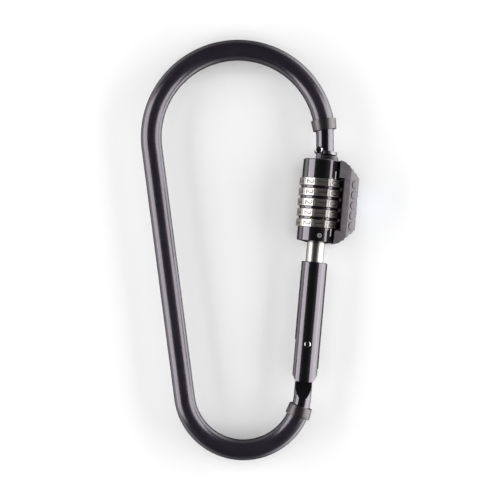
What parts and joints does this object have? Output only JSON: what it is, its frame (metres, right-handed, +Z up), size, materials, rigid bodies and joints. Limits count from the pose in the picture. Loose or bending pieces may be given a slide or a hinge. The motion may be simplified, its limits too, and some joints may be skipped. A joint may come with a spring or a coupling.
{
  "type": "combination carabiner lock",
  "caption": "Large teardrop carabiner lock: sheathed steel loop, spring-closed swing gate, and a sliding code-dial barrel with a bumper cover.",
  "frame": {"origin": "middle of the object's footprint, on the surface that it lies on", "axes": "+Y along the loop towards its wide upper end, +X towards the gate side, +Z up out of the plane of the loop"},
  "size_m": [0.1238, 0.2396, 0.025],
  "materials": {
    "black_steel": "gloss black lacquer on hardened steel",
    "sheath_black": "smooth black vinyl sheath",
    "collar_rubber": "matte black rubber",
    "dark_steel": "blackened steel, semi-matte",
    "gloss_black_metal": "gloss black anodised",
    "polished_steel": "polished",
    "plain_steel": "plain ground steel",
    "nickel_plate": "satin nickel plate",
    "satin_nickel": "satin nickel, digits engraved and filled black",
    "brass_inner": "machined brass",
    "index_white": "white paint",
    "cover_plastic": "fine-grained dark grey plastic",
    "badge_plastic": "clear domed plastic over white"
  },
  "bodies": {
    "shackle": {"shackle_rod": "black_steel", "shackle_sheath": "sheath_black", "upper_collar": "collar_rubber", "lower_collar": "collar_rubber", "nose_foot": "dark_steel"},
    "gate": {"gate_sleeve": "gloss_black_metal", "pivot_pin": "polished_steel", "plunger_spring": "plain_steel", "spindle": "nickel_plate", "spindle_pin": "plain_steel", "toothed_bar": "plain_steel", "latch_head": "dark_steel", "latch_pin": "polished_steel"},
    "plunger": {"hinge_plunger": "plain_steel"},
    "barrel": {"upper_housing": "gloss_black_metal", "lower_housing": "gloss_black_metal", "core_tube": "brass_inner", "detent_leaf": "plain_steel", "spacer_1": "gloss_black_metal", "spacer_2": "gloss_black_metal", "spacer_3": "gloss_black_metal", "spacer_4": "gloss_black_metal", "drag_ball": "polished_steel", "drag_spring": "plain_steel", "index_marks": "index_white", "bumper_cover": "cover_plastic", "cover_screws": "plain_steel", "badge": "badge_plastic"},
    "reset": {"reset_screw": "plain_steel"},
    "dial_1": {"dial_1": "satin_nickel", "code_ring_1": "brass_inner"},
    "dial_2": {"dial_2": "satin_nickel", "code_ring_2": "brass_inner"},
    "dial_3": {"dial_3": "satin_nickel", "code_ring_3": "brass_inner"},
    "dial_4": {"dial_4": "satin_nickel", "code_ring_4": "brass_inner"},
    "dial_5": {"dial_5": "satin_nickel", "code_ring_5": "brass_inner"}
  },
  "joints": [
    {"name": "gate_swing", "type": "hinge", "parent": "shackle", "child": "gate", "pos_m": [0.0328, -0.05327, 0.0125], "axis": [0, 0, 1], "range_deg": [0, 40], "stiffness_Nm_per_rad": 0.06, "springref_deg": -20.05},
    {"name": "plunger_slide", "type": "slide", "parent": "gate", "child": "plunger", "axis": [0.0878, 0.9961, 0], "range_m": [0, 0.001], "deforming": ["plunger_spring"]},
    {"name": "barrel_slide", "type": "slide", "parent": "gate", "child": "barrel", "axis": [0.0878, 0.9961, 0], "range_m": [0, 0.00585]},
    {"name": "reset_screw_turn", "type": "hinge", "parent": "barrel", "child": "reset", "pos_m": [0.03922, 0.00814, 0.02355], "axis": [0.0903, -0.008, 0.9959], "range_deg": [0, 90]},
    {"name": "dial_1_turn", "type": "hinge", "parent": "barrel", "child": "dial_1", "pos_m": [0.03881, 0.0149, 0.0125], "axis": [0.0878, 0.9961, 0], "continuous": true},
    {"name": "dial_2_turn", "type": "hinge", "parent": "barrel", "child": "dial_2", "pos_m": [0.03932, 0.02073, 0.0125], "axis": [0.0878, 0.9961, 0], "continuous": true},
    {"name": "dial_3_turn", "type": "hinge", "parent": "barrel", "child": "dial_3", "pos_m": [0.03984, 0.02655, 0.0125], "axis": [0.0878, 0.9961, 0], "continuous": true},
    {"name": "dial_4_turn", "type": "hinge", "parent": "barrel", "child": "dial_4", "pos_m": [0.04035, 0.03238, 0.0125], "axis": [0.0878, 0.9961, 0], "continuous": true},
    {"name": "dial_5_turn", "type": "hinge", "parent": "barrel", "child": "dial_5", "pos_m": [0.04086, 0.03821, 0.0125], "axis": [0.0878, 0.9961, 0], "continuous": true}
  ],
  "couplings": [
    {"joint": "plunger_slide", "follows": "gate_swing", "m_per_rad": 0.0014324}
  ]
}
